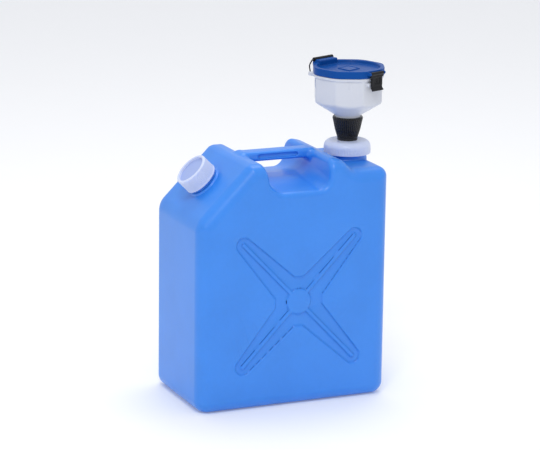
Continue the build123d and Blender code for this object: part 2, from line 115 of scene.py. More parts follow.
class CanSettings(bpy.types.PropertyGroup):
    """Sizes and colours of the can's shell."""

    wall: size_property("Wall", "Thickness of the moulded wall", 3.0)
    lip: size_property("Lip radius", "Rounding where the trough leaves the outer skin", 9.0)
    relief: size_property("Cross depth", "Depth of the pressed cross on both faces", 3.8)
    cell: size_property("Cell", "Grid cell of the shell's surface", 1.6)
    colour: colour_property("Can", "Colour of the can", (0.036, 0.238, 0.78))


class CapSettings(bpy.types.PropertyGroup):
    """Sizes and colours of both screw caps."""

    pour_ribs: bpy.props.IntProperty(name="Pour cap ribs", description="Grip ribs round the cap",
                                     default=72, min=8)
    filler_ribs: bpy.props.IntProperty(name="Filler cap ribs",
                                       description="Grip ribs round the cap", default=48, min=8)
    rib_depth: size_property("Rib depth", "How far the grip ribs stand out", 0.55)
    pitch: size_property("Thread pitch", "Lift of a cap in one turn", 6.0)
    colour: colour_property("Caps", "Colour of the caps", (0.60, 0.66, 0.85))
    # The disc colour below is painted shade: a darker copy of the cap colour for the pour cap's
    # top disc
    disc_shade_colour: colour_property("Disc painted shade", "Colour of the pour cap's disc, darkened as painted shade",
                                 (0.34, 0.43, 0.74))


class FunnelSettings(bpy.types.PropertyGroup):
    """Sizes and colours of the funnel, its collar, lid and latch."""

    flutes: bpy.props.IntProperty(name="Collar flutes", description="Grooves round the collar",
                                  default=40, min=8)
    flute_depth: size_property("Flute depth", "Depth of the collar's grooves", 1.2)
    cell: size_property("Cell", "Grid cell of the funnel's surfaces", 1.0)
    bowl_colour: colour_property("Bowl", "Colour of the funnel", (0.62, 0.64, 0.70))
    lid_colour: colour_property("Lid", "Colour of the lid", (0.001, 0.062, 0.29))
    black: colour_property("Black parts", "Colour of collar and latch", (0.004, 0.004, 0.006))


class StageSettings(bpy.types.PropertyGroup):
    """Camera, floor and light."""

    azimuth: bpy.props.FloatProperty(name="Azimuth", description="Camera direction",
                                     default=math.radians(-23.74), subtype="ANGLE")
    elevation: bpy.props.FloatProperty(name="Elevation", description="Camera height angle",
                                       default=math.radians(14.07), subtype="ANGLE")
    roll: bpy.props.FloatProperty(name="Roll", description="Camera roll",
                                  default=math.radians(0.77), subtype="ANGLE")
    distance: bpy.props.FloatProperty(name="Distance", description="Camera distance",
                                      default=4.44, unit="LENGTH")
    aim: size_property("Aim height", "Height that the camera looks at", 293.1)
    aim_side: size_property("Aim side", "How far to the right the camera looks", -3.3)
    lens: bpy.props.FloatProperty(name="Lens", description="Focal length in millimetres",
                                  default=172.6)
    floor_colour: colour_property("Floor", "Colour of the floor", (0.90, 0.90, 0.90))


# ---- moulded surfaces from distances
def round_max(a, b, radius):
    """Intersection of two solids whose meeting edge is rounded."""
    return (np.minimum(np.maximum(a, b), -radius)
            + np.hypot(np.maximum(a + radius, 0), np.maximum(b + radius, 0)))


def round_min(a, b, radius):
    """Union of two solids whose meeting corner is filled to a radius."""
    return -round_max(-a, -b, radius)


def ease(t, half):
    """0 below -half, 1 above half, smooth between."""
    u = np.clip((t + half) / (2 * half), 0, 1)
    return u * u * (3 - 2 * u)


def slab(value, low, high):
    """Distance outside the range low to high."""
    return np.abs(value - (low + high) / 2) - (high - low) / 2


def rounded_box(u, v, z, u_range, v_range, z_range, radius):
    """Box with rounded edges."""
    flat = round_max(slab(u, *u_range), slab(v, *v_range), radius)
    return round_max(flat, slab(z, *z_range), radius)


def cell_slice(array, shift):
    """The grid values at one corner of every cell."""
    return array[tuple(slice(s, n - 1 + s) for s, n in zip(shift, array.shape))]


def crossing_points(field, cells, corners):
    """Mean crossing of the surface with the edges of each cell, in cell units."""
    summed = np.zeros((len(cells), 3))
    count = np.zeros((len(cells), 1))
    for start in corners:
        for axis in range(3):
            if start[axis]:
                continue
            end = tuple(1 if i == axis else s for i, s in enumerate(start))
            first = field[tuple((cells + start).T)]
            last = field[tuple((cells + end).T)]
            hit = (first < 0) != (last < 0)
            point = np.tile(np.array(start, float), (len(cells), 1))
            point[:, axis] = first / np.where(hit, first - last, 1)
            summed += np.where(hit[:, None], point, 0)
            count += hit[:, None]
    return cells + summed / count


def grid_faces(inside, index):
    """One quad round every grid edge that crosses the surface, facing outwards."""
    faces = []
    for axis in range(3):
        b, c = (axis + 1) % 3, (axis + 2) % 3
        size = inside.shape
        first = np.take(inside, range(size[axis] - 1), axis)
        last = np.take(inside, range(1, size[axis]), axis)
        edges = np.argwhere(first != last)
        low = (edges[:, b] > 0) & (edges[:, c] > 0)
        edges = edges[low & (edges[:, b] < size[b] - 1) & (edges[:, c] < size[c] - 1)]
        ring = []
        for step_b, step_c in ((-1, -1), (0, -1), (0, 0), (-1, 0)):
            at = edges.copy()
            at[:, b] += step_b
            at[:, c] += step_c
            ring.append(index[tuple(at.T)])
        quads = np.stack(ring, 1)
        inward = ~first[tuple(edges.T)]
        quads[inward] = quads[inward][:, ::-1]
        faces.append(quads)
    return np.concatenate(faces)


def settle(distance, points, cell, rounds=4):
    """Move points onto the zero surface along its gradient."""
    step = cell * 0.05
    for _ in range(rounds):
        slope = np.empty_like(points)
        for axis, shift in enumerate(np.eye(3) * step):
            rise = distance(*(points + shift).T) - distance(*(points - shift).T)
            slope[:, axis] = rise / (2 * step)
        steep = np.maximum((slope * slope).sum(1), 0.05)
        move = distance(*points.T)[:, None] * slope / steep[:, None]
        length = np.maximum(np.linalg.norm(move, axis=1, keepdims=True), 1e-9)
        points = points - move * np.minimum(1, 0.5 * cell / length)
    return points


def moulded_mesh(name, distance, low, high, cell, most_triangles):
    """Closed mesh of a solid given by its signed distance in millimetres."""
    axes = [np.arange(a - cell * 1.5, b + cell * 2.5, cell, dtype=np.float32)
            for a, b in zip(low, high)]
    field = distance(*np.meshgrid(*axes, indexing="ij"))
    inside = field < 0
    corners = [(i, j, k) for i in (0, 1) for j in (0, 1) for k in (0, 1)]
    filled = sum(cell_slice(inside, corner).astype(np.int8) for corner in corners)
    active = (filled > 0) & (filled < 8)
    cells = np.argwhere(active)
    index = np.full(active.shape, -1, np.int64)
    index[active] = np.arange(len(cells))
    start = np.array([axis[0] for axis in axes], float)
    points = start + crossing_points(field, cells, corners) * cell
    points = settle(distance, points, cell)
    faces = grid_faces(inside, index)
    mesh = bpy.data.meshes.new(name)
    mesh.from_pydata((points * MM).tolist(), [], faces.tolist())
    return thinned(mesh, most_triangles)


def thinned(mesh, most_triangles):
    """The mesh with its flat stretches thinned to a triangle budget, smooth shaded."""
    piece = bpy.data.objects.new(mesh.name, mesh)
    bpy.context.scene.collection.objects.link(piece)
    if 2 * len(mesh.polygons) > most_triangles:
        cut = piece.modifiers.new("Thin", "DECIMATE")
        cut.ratio = most_triangles / (2 * len(mesh.polygons))
        cut.use_collapse_triangulate = True
        graph = bpy.context.evaluated_depsgraph_get()
        piece.data = bpy.data.meshes.new_from_object(piece.evaluated_get(graph))
        piece.modifiers.clear()
    piece.data.shade_smooth()
    return piece


# ---- shape of the can
def cross_outline(u, v):
    """Distances of the pressed cross's outline and of the ribs and boss left standing in it."""
    au, av = np.abs(u), np.abs(v)
    reach = math.hypot(CROSS_TIP_X, CROSS_TIP_Z)
    along_u, along_v = CROSS_TIP_X / reach, CROSS_TIP_Z / reach

    def flank(start_u, start_v, side):
        """Straight flank from a flat's corner to its tangent point on the arm's tip."""
        du, dv = CROSS_TIP_X - start_u, CROSS_TIP_Z - start_v
        lean = math.pi / 2 + math.asin(CROSS_TIP_RADIUS / math.hypot(du, dv))
        turn = math.atan2(dv, du) + side * lean
        return (au - start_u) * math.cos(turn) + (av - start_v) * math.sin(turn)

    flanks = np.maximum(flank(CROSS_FLAT_HALF, CROSS_FLAT, 1),
                        flank(CROSS_FLAT, CROSS_FLAT_HALF, -1))
    past_tip = (au - CROSS_TIP_X) * along_u + (av - CROSS_TIP_Z) * along_v
    tip = np.hypot(au - CROSS_TIP_X, av - CROSS_TIP_Z) - CROSS_TIP_RADIUS
    arm = np.where(past_tip > 0, tip, flanks)
    chamfer = (au + av - CROSS_FLAT - CROSS_FLAT_HALF) * HALF_ROOT
    core = np.maximum(np.maximum(au, av) - CROSS_FLAT, chamfer)
    share = np.clip((au * along_u + av * along_v) / reach, 0, 1)
    rib = np.hypot(au - share * CROSS_TIP_X, av - share * CROSS_TIP_Z) - CROSS_RIB_HALF
    boss = np.hypot(u, v) - CROSS_BOSS_RADIUS
    return np.minimum(arm, core), np.minimum(rib, boss)


def can_outline(x, y, z):
    """Width outline of the can: ends, slope, shoulders, ramp and neck platform."""
    slope = (z - x - SLOPE_OFFSET) * HALF_ROOT
    shoulder = round_max(slope, z - SHOULDER_TOP, SHOULDER_ROUNDING)
    outline = round_max(np.abs(x) - HALF_WIDTH, shoulder, SLOPE_ROUNDING)
    ramp = (x - RAMP_TOP_X) * HALF_ROOT + (z - SHOULDER_TOP) * HALF_ROOT
    steep = (x - RAMP_FOOT_X) * 0.894 + (z - RAMP_FOOT_TOP) * 0.447
    room_radius = CAP_ROOM_RADIUS + CAP_ROOM_FLARE * (z - PLATFORM_TOP)
    cap_room = (room_radius - np.hypot(x - FUNNEL_X, y)) * 0.981
    flank = round_max(round_max(ramp, steep, 9.0), cap_room, 7.0)
    return round_max(outline, round_min(z - PLATFORM_TOP, flank, 8.0), END_ROUNDING)


def can_skin(x, y, z, lip, relief):
    """Outer skin without handle bar and necks."""
    arms, raised = cross_outline(x - CROSS_X, z - CROSS_Z)
    pressed = relief * ease(-arms, CROSS_EDGE) * (1 - ease(-raised, CROSS_RIB_EDGE))
    face = np.abs(y) - HALF_DEPTH + pressed
    body = round_max(round_max(can_outline(x, y, z), face, FACE_ROUNDING), -z, BASE_ROUNDING)
    floor = TROUGH_FLOOR - TROUGH_FALL * np.maximum(np.abs(y) - HANDLE_HALF_DEPTH, 0) - z
    left = (TROUGH_LEFT - x) * 0.977 - (z - TROUGH_FLOOR) * 0.214
    right = (x - TROUGH_RIGHT) * 0.998 - (z - TROUGH_FLOOR) * 0.06
    trough = round_max(np.maximum(left, right), floor, TROUGH_ROUNDING)
    return round_max(body, -trough, lip)


def handle_bar(x, y, z):
    """The bar over the trough, with the pressed groove along both sides."""
    out = np.abs(y)
    tall = np.abs(z - HANDLE_MIDDLE) - HANDLE_HALF_HEIGHT
    bar = round_max(out - HANDLE_HALF_DEPTH, tall, HANDLE_ROUNDING)
    bar = round_max(bar, np.abs(x - HANDLE_CENTRE) - HANDLE_HALF_LENGTH, HANDLE_ROUNDING)
    past_end = np.maximum(np.abs(x - GROOVE_CENTRE) - GROOVE_HALF_LENGTH, 0)
    groove = np.hypot(past_end, z - HANDLE_MIDDLE) - GROOVE_RADIUS
    groove = np.maximum(groove, HANDLE_HALF_DEPTH - GROOVE_DEPTH - out)
    return round_max(bar, -groove, 1.2)


def along_pour_axis(x, y, z):
    """Height along the sloping neck's axis and distance from it."""
    dx, dz = x - POUR_BASE[0], z - POUR_BASE[2]
    return (dz - dx) * HALF_ROOT, np.hypot((dx + dz) * HALF_ROOT, y)


def can_shape(x, y, z, wall, lip, relief):
    """The whole hollow can."""
    skin = can_skin(x, y, z, lip, relief)
    body = round_min(skin, handle_bar(x, y, z), HANDLE_BLEND)
    up, out = along_pour_axis(x, y, z)
    from_axis = np.hypot(x - FUNNEL_X, y)
    for radius, height, ring_size, neck_size in (
            (from_axis, z, (FILLER_RING_RADIUS, FILLER_RING_LOW, FILLER_RING_TOP),
             (FILLER_NECK_RADIUS, FILLER_NECK_LOW, can_high.z)),
            (out, up, (POUR_RING_RADIUS, POUR_ROOT, POUR_RING_TOP),
             (POUR_NECK_RADIUS, POUR_ROOT, POUR_NECK_TOP))):
        ring = round_max(radius - ring_size[0], slab(height, *ring_size[1:]), RING_ROUNDING)
        neck = round_max(radius - neck_size[0], slab(height, *neck_size[1:]), NECK_ROUNDING)
        body = round_min(round_min(body, ring, RING_BLEND), neck, NECK_BLEND)
    bores = np.minimum(np.maximum(from_axis - FILLER_BORE_RADIUS, FILLER_BORE_LOW - z),
                       np.maximum(out - POUR_BORE_RADIUS, POUR_BORE_LOW - up))
    return round_max(body, -np.minimum(skin + wall, bores), 1.0)


# ---- shape of the funnel, lid, latch
def facet_axes(x, y):
    """Coordinates towards the latch facet and across it, from the funnel's axis."""
    dx = x - FUNNEL_X
    cos, sin = math.cos(FACET_TURN), math.sin(FACET_TURN)
    return dx * cos + y * sin, y * cos - dx * sin


def octagon(u, v, apothem, power=60):
    """Distance of an eight-sided outline with softened corners."""
    sides = [np.abs(u), np.abs(v), np.abs(u + v) * HALF_ROOT, np.abs(u - v) * HALF_ROOT]
    widest = np.maximum(np.maximum(sides[0], sides[1]), np.maximum(sides[2], sides[3]))
    widest = np.maximum(widest, 1e-3)
    total = sum((side / widest) ** power for side in sides)
    return widest * total ** (1 / power) - apothem


BOWL_APOTHEM, BOWL_WALL = 57.0, 2.5
BOWL_RIM = bowl_high.z
FLANGE_BOTTOM = BOWL_RIM - 4.6
FLANGE_APOTHEM, FLANGE_RADIUS = 60.2, 62.6
OUTLET_RADIUS, OUTLET_BORE_RADIUS = 22.0, 18.5
CONE_LOW, CONE_LOW_RADIUS = 477.0, 23.0
KEEPER_HALF, KEEPER_LOW, KEEPER_HIGH, KEEPER_REACH = 16.0, 535.0, 541.0, 61.5
LUG_NEAR, LUG_FAR, LUG_REACH = 23.0, 30.0, 67.5


def bowl_shape(x, y, z):
    """Funnel: prism, cone, outlet, rim flange, keeper, bail lugs and mould ribs."""
    u, v = facet_axes(x, y)
    radius = np.hypot(u, v)
    cone = (radius - CONE_LOW_RADIUS) * 0.533 - (z - CONE_LOW) * 0.846
    shell = round_max(octagon(u, v, BOWL_APOTHEM), cone, 3.5)
    shell = round_max(shell, slab(z, CONE_LOW, BOWL_RIM), 0.4)
    outlet = round_max(radius - OUTLET_RADIUS, slab(z, bowl_low.z, CONE_LOW + 3), 0.4)
    shell = round_min(shell, outlet, 0.8)
    flange = round_max(octagon(u, v, FLANGE_APOTHEM), radius - FLANGE_RADIUS, 3.0)
    flange = round_max(flange, slab(z, FLANGE_BOTTOM, BOWL_RIM), 1.2)
    shell = round_min(shell, flange, 1.8)
    keeper = rounded_box(u, v, z, (50, KEEPER_REACH), (-KEEPER_HALF, KEEPER_HALF),
                         (KEEPER_LOW, KEEPER_HIGH), 1.4)
    shell = round_min(shell, keeper, 1.5)
    lug = rounded_box(u, np.abs(v), z, (-LUG_REACH, -50), (LUG_NEAR, LUG_FAR), (539, 546), 1.5)
    shell = round_min(shell, lug, 1.5)
    rib = rounded_box(np.abs(u - v) * HALF_ROOT, (u + v) * HALF_ROOT, z,
                      (50, 58.0), (-0.8, 0.8), (531, 546), 0.6)
    shell = round_min(shell, rib, 0.8)
    inner_cone = (radius - 17.5) * 0.508 - (z - 478) * 0.862
    hollow = round_max(octagon(u, v, BOWL_APOTHEM - BOWL_WALL), inner_cone, 3.0)
    hollow = np.maximum(hollow, CONE_LOW + 0.5 - z)
    bore = np.maximum(radius - OUTLET_BORE_RADIUS, z - CONE_LOW - 3)
    return round_max(shell, -np.minimum(hollow, bore), 0.7)


LID_APOTHEM, LID_RADIUS = 61.0, 63.4
DISH_FLOOR, DISH_RADIUS = 556.5, 54.5
RING_TOP = 562.0
LOZENGE_HALF_WIDTH, LOZENGE_HALF_LENGTH = 18.0, 22.0
HINGE_REACH, HINGE_HEIGHT = -61.0, 567.0
HINGE_HALF, SLEEVE_SEAT_HALF, SLEEVE_SEAT_RADIUS = 22.0, 24.0, 3.4
PIVOT_REACH, PIVOT_HEIGHT = 65.4, 557.5
EAR_NEAR, EAR_FAR, EAR_RADIUS = 15.9, 18.9, 2.9


def lid_shape(x, y, z):
    """Lid: raised ring, dish with a low lozenge, hinge block and two latch ears."""
    u, v = facet_axes(x, y)
    radius = np.hypot(u, v)
    lid = round_max(octagon(u, v, LID_APOTHEM), radius - LID_RADIUS, 2.5)
    lid = round_max(lid, slab(z, lid_low.z, RING_TOP), 1.7)
    dish = (radius - DISH_RADIUS) * 0.93 + (RING_TOP - z) * 0.36
    lid = round_max(lid, -round_max(dish, DISH_FLOOR - z, 1.5), 1.3)
    across, deep = (u + v) * HALF_ROOT, (v - u) * HALF_ROOT
    lozenge = (np.abs(across) / LOZENGE_HALF_WIDTH + np.abs(deep) / LOZENGE_HALF_LENGTH - 1) * 14
    outline = round_max(np.abs(lozenge) - 0.9, slab(z, DISH_FLOOR - 1, DISH_FLOOR + 1.6), 0.5)
    lozenge = round_max(lozenge, slab(z, DISH_FLOOR - 1, DISH_FLOOR + 0.8), 0.3)
    lid = round_min(lid, np.minimum(lozenge, outline), 0.5)
    block = rounded_box(u, v, z, (-65.5, -46), (-HINGE_HALF, HINGE_HALF),
                        (554.5, HINGE_HEIGHT), 2.4)
    lid = round_min(lid, block, 2.0)
    under = np.minimum(np.maximum(octagon(u, v, 53.5), z - 553.8),
                       np.maximum(octagon(u, v, 57.8), z - 551.2))
    lid = round_max(lid, -under, 0.4)
    seat = np.hypot(u - HINGE_REACH, z - HINGE_HEIGHT) - SLEEVE_SEAT_RADIUS
    lid = round_max(lid, -np.maximum(seat, np.abs(v) - SLEEVE_SEAT_HALF), 0.4)
    ear = np.hypot(np.maximum(np.abs(u - PIVOT_REACH + 4) - 4, 0), z - PIVOT_HEIGHT) - EAR_RADIUS
    ear = round_max(ear, slab(np.abs(v), EAR_NEAR, EAR_FAR), 0.6)
    return round_min(lid, ear, 0.5)


CLIP_HALF, PLATE_HALF, POCKET_HALF, HOOK_HALF = 15.5, 12.6, 7.4, 12.0
CLIP_INNER, CLIP_OUTER = 63.05, 66.3
LIP_BEND = 533.5                          # height where the plate turns out into the finger lip


def clip_shape(x, y, z):
    """Latch clip: knuckle bar, waisted plate with a pocket, hook rib and flared lip."""
    u, v = facet_axes(x, y)
    wide = np.abs(v)
    knuckle = np.hypot(u - PIVOT_REACH, z - PIVOT_HEIGHT) - 2.85
    knuckle = round_max(knuckle, wide - CLIP_HALF, 0.8)
    head = rounded_box(u, v, z, (CLIP_INNER, 66.4), (-CLIP_HALF, CLIP_HALF), (550.5, 557), 1.0)
    half = PLATE_HALF + 0.8 * ease(548 - z, 4) - 1.2 * ease(536 - z, 3) + 1.4 * ease(532 - z, 3)
    plate = round_max(slab(u, CLIP_INNER, CLIP_OUTER), slab(z, LIP_BEND - 1, 553.5), 0.8)
    plate = round_max(plate, wide - half, 0.8)
    lean = (u - 64.7) * 0.83 + (z - LIP_BEND) * 0.56
    down = -(z - LIP_BEND) * 0.83 + (u - 64.7) * 0.56
    lip = round_max(slab(lean, -1.4, 1.4), slab(down, -2, 6.6), 1.0)
    lip = round_max(lip, wide - half, 0.9)
    clip = round_min(round_min(knuckle, head, 0.8), round_min(plate, lip, 1.5), 0.8)
    hook = rounded_box(u, v, z, (62.1, 64), (-HOOK_HALF, HOOK_HALF), (531.2, 534.4), 0.6)
    clip = round_min(clip, hook, 0.5)
    pocket = rounded_box(u, v, z, (64.9, 70), (-POCKET_HALF, POCKET_HALF), (539.5, 550), 0.8)
    slit = rounded_box(u, v, z, (64.0, 70), (-1.0, 1.0), (541, 548), 0.3)
    return round_max(round_max(clip, -pocket, 0.7), -slit, 0.3)


# ---- turned pieces
def rounded_profile(corners, steps=5):
    """Closed outline through (radius, height, fillet) corners, each fillet as an arc."""
    outline = []
    count = len(corners)
    for i, (r, z, fillet) in enumerate(corners):
        here = np.array([r, z])
        if fillet <= 0:
            outline.append(here)
            continue
        back = np.array(corners[i - 1][:2]) - here
        ahead = np.array(corners[(i + 1) % count][:2]) - here
        back /= np.linalg.norm(back)
        ahead /= np.linalg.norm(ahead)
        half_turn = math.acos(np.clip(back @ ahead, -1, 1)) / 2
        middle = (back + ahead) / np.linalg.norm(back + ahead)
        centre = here + middle * fillet / math.sin(half_turn)
        start = here + back * fillet / math.tan(half_turn) - centre
        side = 1 if start[0] * ahead[1] - start[1] * ahead[0] > 0 else -1
        for step in range(steps + 1):
            angle = side * (math.pi - 2 * half_turn) * step / steps
            cos, sin = math.cos(angle), math.sin(angle)
            outline.append(centre + np.array([start[0] * cos - start[1] * sin,
                                              start[0] * sin + start[1] * cos]))
    return outline


def spaced(outline, longest):
    """The outline with its long straight runs divided."""
    dense = []
    for here, following in zip(outline, outline[1:] + outline[:1]):
        parts = max(1, int(np.linalg.norm(following - here) / longest))
        dense += [here + (following - here) * k / parts for k in range(parts)]
    return dense


def turned_piece(name, corners, around, longest=1.6):
    """Closed turned piece about +Z, from a profile in millimetres."""
    outline = spaced(rounded_profile(corners), longest)
    build = bmesh.new()
    rings = []
    for i in range(around):
        angle = 2 * math.pi * i / around
        cos, sin = math.cos(angle) * MM, math.sin(angle) * MM
        rings.append([build.verts.new((r * cos, r * sin, z * MM)) for r, z in outline])
    for here, following in zip(rings, rings[1:] + rings[:1]):
        for k in range(len(outline)):
            m = (k + 1) % len(outline)
            build.faces.new((here[k], following[k], following[m], here[m]))
    bmesh.ops.remove_doubles(build, verts=build.verts, dist=1e-6)
    bmesh.ops.dissolve_degenerate(build, edges=build.edges, dist=1e-7)
    bmesh.ops.recalc_face_normals(build, faces=build.faces)
    mesh = bpy.data.meshes.new(name)
    build.to_mesh(mesh)
    build.free()
    return linked(name, mesh)


def linked(name, mesh):
    """New object of the scene, smooth shaded with its sharp edges kept."""
    mesh.shade_smooth()
    mesh.set_sharp_from_angle(angle=math.radians(40))
    piece = bpy.data.objects.new(name, mesh)
    bpy.context.scene.collection.objects.link(piece)
    return piece


FILLER_PLACE = Matrix.Translation((FUNNEL_X * MM, 0, 0))
POUR_PLACE = (Matrix.Translation(Vector(POUR_BASE) * MM)
              @ Matrix.Rotation(math.radians(-45), 4, "Y"))


# ---- node trees
def add_node(tree, kind, values=(), **settings):
    """Node with its settings, and its inputs set to values or joined to sockets."""
    made = tree.nodes.new(kind)
    for key, value in settings.items():
        setattr(made, key, value)
    for key, value in dict(values).items():
        socket = made.inputs[key]
        if isinstance(value, bpy.types.NodeSocket):
            tree.links.new(value, socket)
        else:
            socket.default_value = value
    return made


def compute(tree, operation, first, second=0.0):
    """Output of a Math node."""
    return add_node(tree, "ShaderNodeMath", {0: first, 1: second}, operation=operation).outputs[0]


def ramp(tree, value, start, end, low=0.0, high=1.0):
    """Output of a smooth Map Range node."""
    made = add_node(tree, "ShaderNodeMapRange", interpolation_type="SMOOTHSTEP",
                    values={"Value": value, "From Min": start, "From Max": end,
                            "To Min": low, "To Max": high})
    return made.outputs["Result"]


def new_tree(name, inputs):
    """Geometry tree with a mesh in, a mesh out and named inputs, and its input node."""
    tree = bpy.data.node_groups.new(name, "GeometryNodeTree")
    tree.interface.new_socket("Geometry", in_out="OUTPUT", socket_type="NodeSocketGeometry")
    tree.interface.new_socket("Geometry", in_out="INPUT", socket_type="NodeSocketGeometry")
    for label, kind in inputs:
        tree.interface.new_socket(label, in_out="INPUT", socket_type="NodeSocket" + kind)
    return tree, tree.nodes.new("NodeGroupInput")


def close_tree(tree, geometry, material):
    """End a tree in Realize Instances and Set Material."""
    real = add_node(tree, "GeometryNodeRealizeInstances", {"Geometry": geometry})
    coated = add_node(tree, "GeometryNodeSetMaterial",
                      {"Geometry": real.outputs[0], "Material": material})
    add_node(tree, "NodeGroupOutput", {"Geometry": coated.outputs[0]})
    return tree


def grip_tree():
    """Presses upright grooves into a round skin about +Z, between two heights."""
    tree, given = new_tree("Grip grooves", [
        ("Count", "Float"), ("Depth", "Float"), ("Low", "Float"), ("High", "Float"),
        ("Fade", "Float"), ("Inner radius", "Float"), ("Flare", "Float"), ("Land", "Float"),
        ("Material", "Material")])
    inputs = given.outputs
    place = add_node(tree, "GeometryNodeInputPosition")
    split = add_node(tree, "ShaderNodeSeparateXYZ", {0: place.outputs[0]}).outputs
    flat = add_node(tree, "ShaderNodeCombineXYZ", {0: split[0], 1: split[1]}).outputs[0]
    radius = add_node(tree, "ShaderNodeVectorMath", {0: flat}, operation="LENGTH").outputs["Value"]
    outward = add_node(tree, "ShaderNodeVectorMath", {0: flat}, operation="NORMALIZE").outputs[0]
    angle = compute(tree, "ARCTAN2", split[1], split[0])
    wave = compute(tree, "COSINE", compute(tree, "MULTIPLY", angle, inputs["Count"]))
    pressed = ramp(tree, wave, inputs["Land"], -0.9)
    height = compute(tree, "SUBTRACT", split[2], inputs["Low"])
    above = ramp(tree, height, 0.0, inputs["Fade"])
    below = ramp(tree, compute(tree, "SUBTRACT", inputs["High"], split[2]), 0.0, inputs["Fade"])
    limit = compute(tree, "ADD", inputs["Inner radius"],
                    compute(tree, "MULTIPLY", height, inputs["Flare"]))
    skin = compute(tree, "GREATER_THAN", radius, limit)
    share = compute(tree, "MULTIPLY", compute(tree, "MULTIPLY", above, below),
                    compute(tree, "MULTIPLY", pressed, skin))
    depth = compute(tree, "MULTIPLY", share, compute(tree, "MULTIPLY", inputs["Depth"], -1.0))
    offset = add_node(tree, "ShaderNodeVectorMath", {0: outward, "Scale": depth},
                      operation="SCALE")
    moved = add_node(tree, "GeometryNodeSetPosition",
                     {"Geometry": inputs["Geometry"], "Offset": offset.outputs[0]})
    return close_tree(tree, moved.outputs[0], inputs["Material"])


def thread_tree():
    """A rounded screw thread about +Z whose ends taper into the neck."""
    tree, given = new_tree("Screw thread", [
        ("Radius", "Float"), ("Height", "Float"), ("Pitch", "Float"), ("Turns", "Float"),
        ("Bead", "Float"), ("Material", "Material")])
    inputs = given.outputs
    spiral = add_node(tree, "GeometryNodeCurveSpiral", {
        "Resolution": 72, "Rotations": inputs["Turns"], "Start Radius": inputs["Radius"],
        "End Radius": inputs["Radius"],
        "Height": compute(tree, "MULTIPLY", inputs["Pitch"], inputs["Turns"])})
    along = add_node(tree, "GeometryNodeSplineParameter").outputs["Factor"]
    taper = compute(tree, "MULTIPLY", ramp(tree, along, 0.0, 0.12, 0.15),
                    ramp(tree, along, 1.0, 0.88, 0.15))
    sized = add_node(tree, "GeometryNodeSetCurveRadius",
                     {"Curve": spiral.outputs[0], "Radius": taper})
    lifted = add_node(tree, "GeometryNodeSetPosition", {
        "Geometry": sized.outputs[0],
        "Offset": add_node(tree, "ShaderNodeCombineXYZ", {2: inputs["Height"]}).outputs[0]})
    bead = add_node(tree, "GeometryNodeCurvePrimitiveCircle",
                    {"Resolution": 14, "Radius": inputs["Bead"]}, mode="RADIUS")
    swept = add_node(tree, "GeometryNodeCurveToMesh", {
        "Curve": lifted.outputs[0], "Profile Curve": bead.outputs["Curve"], "Fill Caps": True})
    smooth = add_node(tree, "GeometryNodeSetShadeSmooth", {"Geometry": swept.outputs[0]})
    return close_tree(tree, smooth.outputs[0], inputs["Material"])


def solved(piece, tree, values):
    """Run a tree on a piece and keep the result as its plain mesh."""
    modifier = piece.modifiers.new(tree.name, "NODES")
    modifier.node_group = tree
    for item in tree.interface.items_tree:
        if item.in_out == "INPUT" and item.name in values:
            modifier[item.identifier] = values[item.name]
    graph = bpy.context.evaluated_depsgraph_get()
    result = bpy.data.meshes.new_from_object(piece.evaluated_get(graph))
    piece.modifiers.clear()
    piece.data = result
    return piece


# ---- materials
def surface(name, colour, roughness, spread=0.05, tone=0.05, grain=1400.0, grain_depth=0.02,
            wave=0.0, stretch=(1, 1, 1), **sockets):
    """Material whose tone, gloss and grain vary over the piece; grain_depth and wave in mm."""
    material = bpy.data.materials.new(name)
    material.use_nodes = True
    tree = material.node_tree
    shader = tree.nodes["Principled BSDF"]
    for key, value in sockets.items():
        shader.inputs[key.replace("_", " ")].default_value = value
    place = add_node(tree, "ShaderNodeTexCoord").outputs["Object"]
    drawn = add_node(tree, "ShaderNodeMapping", {"Vector": place, "Scale": stretch}).outputs[0]
    patches = noise(tree, drawn, 11.0, 4.0)
    specks = noise(tree, drawn, 160.0, 3.0)
    fine = noise(tree, drawn, grain, 2.0)
    deep = [channel * (1 - tone) for channel in colour] + [1]
    light = [min(1, channel * (1 + tone) + 0.01 * tone) for channel in colour] + [1]
    blend = compute(tree, "ADD", compute(tree, "MULTIPLY", patches, 0.75),
                    compute(tree, "MULTIPLY", specks, 0.25))
    tint = mixed(tree, ramp(tree, blend, 0.32, 0.68), deep, light)
    tree.links.new(tint, shader.inputs["Base Color"])
    rough = ramp(tree, specks, 0.3, 0.7, roughness - spread, roughness + spread)
    tree.links.new(rough, shader.inputs["Roughness"])
    relief = bump(tree, fine, grain_depth)
    if wave:
        swell = bump(tree, noise(tree, drawn, 22.0, 1.0), wave)
        tree.links.new(swell.outputs["Normal"], relief.inputs["Normal"])
    tree.links.new(relief.outputs["Normal"], shader.inputs["Normal"])
    return material


def noise(tree, vector, scale, detail):
    """Value of a Noise node."""
    made = add_node(tree, "ShaderNodeTexNoise",
                    {"Vector": vector, "Scale": scale, "Detail": detail})
    return made.outputs["Fac"]


def bump(tree, height, millimetres):
    """Bump node of a depth."""
    return add_node(tree, "ShaderNodeBump",
                    {"Strength": 1.0, "Distance": millimetres * MM, "Height": height})


def mixed(tree, factor, first, second):
    """Colour output of a Mix node."""
    made = add_node(tree, "ShaderNodeMix", data_type="RGBA")
    tree.links.new(factor, made.inputs[0])
    for socket, value in ((made.inputs[6], first), (made.inputs[7], second)):
        if isinstance(value, bpy.types.NodeSocket):
            tree.links.new(value, socket)
        else:
            socket.default_value = value
    return made.outputs[2]


def coat(piece, material):
    """Give a piece one material all over."""
    slots = piece.data.materials
    slots.clear()
    slots.append(material)


def coat_node(node, material):
    """Give a CAD node's object a better material."""
    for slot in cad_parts[node].material_slots:
        slot.material = material


def stand_for(piece, node, body):
    """Let a piece take a CAD node's place on its body."""
    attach(piece, body)
    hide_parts(node)


def add_to(piece, body):
    """Let an extra piece ride on a body."""
    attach(piece, body)


